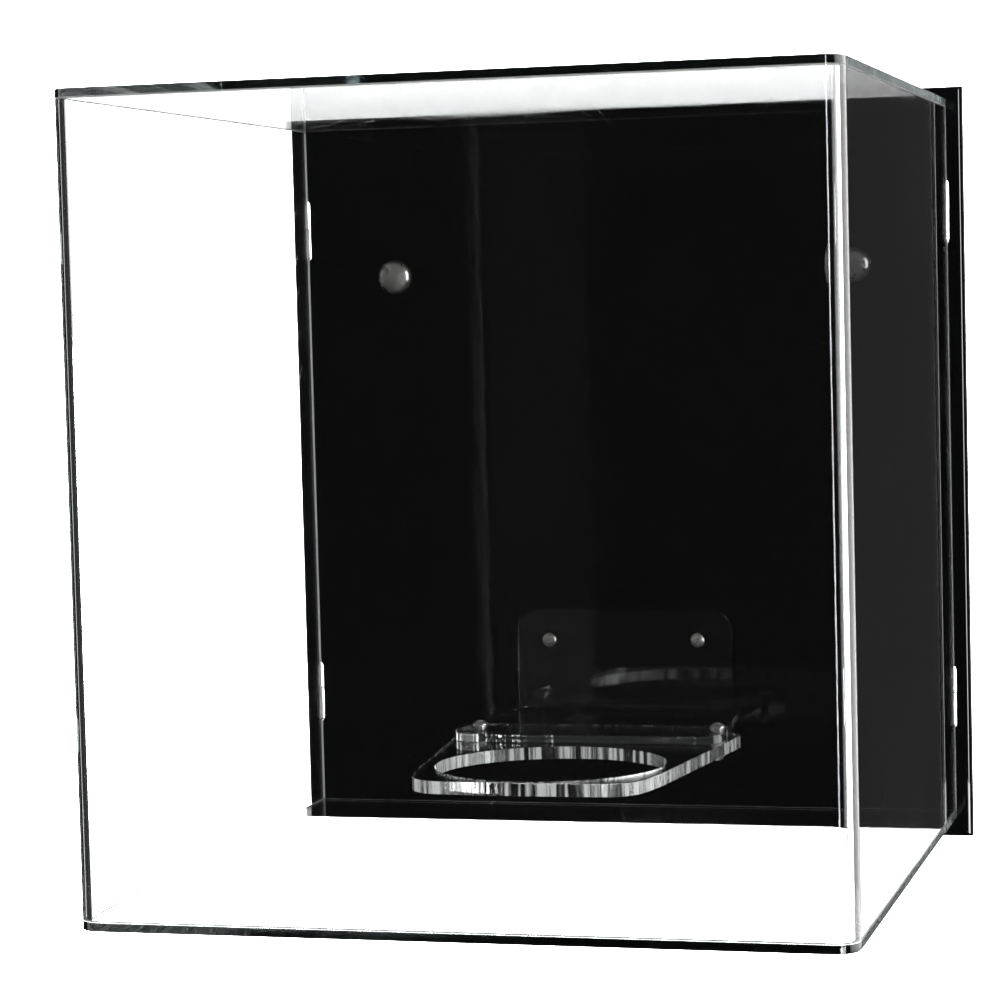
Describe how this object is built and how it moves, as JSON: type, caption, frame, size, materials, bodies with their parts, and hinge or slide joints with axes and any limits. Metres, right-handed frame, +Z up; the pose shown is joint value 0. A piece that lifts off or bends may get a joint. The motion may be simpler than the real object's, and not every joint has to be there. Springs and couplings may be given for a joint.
{
  "type": "ball_display_case",
  "caption": "Wall-mounted football display case: a clear five-sided cover hooked into a black backboard, with a clear ring-hole ball shelf inside",
  "frame": {"origin": "On the wall plane, straight behind the centre of the backboard", "axes": "+X to the right seen from the front, +Y back into the wall, +Z up"},
  "size_m": [0.272, 0.295, 0.289],
  "materials": {
    "cover_acrylic": "clear polished acrylic, 3 mm",
    "shelf_acrylic": "clear polished acrylic with laser-cut edges",
    "black_acrylic": "gloss black cast acrylic",
    "chrome": "polished chrome",
    "zinc_steel": "zinc-plated steel",
    "black_plastic": "moulded black plastic",
    "rubber": "soft black rubber"
  },
  "bodies": {
    "wall_unit": {"backboard": "black_acrylic", "ball_shelf": "shelf_acrylic", "shelf_bracket": "shelf_acrylic", "wall_screw_left": "zinc_steel", "wall_screw_right": "zinc_steel", "cup_washer_left": "black_plastic", "cup_washer_right": "black_plastic", "screw_cap_left": "chrome", "screw_cap_right": "chrome", "spacer_left": "black_plastic", "spacer_right": "black_plastic", "bumper_left": "rubber", "bumper_right": "rubber", "shelf_bolt_left": "chrome", "shelf_bolt_right": "chrome", "shelf_nut_left": "chrome", "shelf_nut_right": "chrome", "bracket_screw_left": "chrome", "bracket_screw_right": "chrome", "bracket_nut_left": "zinc_steel", "bracket_nut_right": "zinc_steel"},
    "cover": {"cover_wrap": "cover_acrylic", "cover_top": "cover_acrylic", "cover_bottom": "cover_acrylic"}
  },
  "joints": [
    {"name": "cover_lift", "type": "slide", "parent": "wall_unit", "child": "cover", "axis": [0, 0, 1], "range_m": [0, 0.01]}
  ]
}
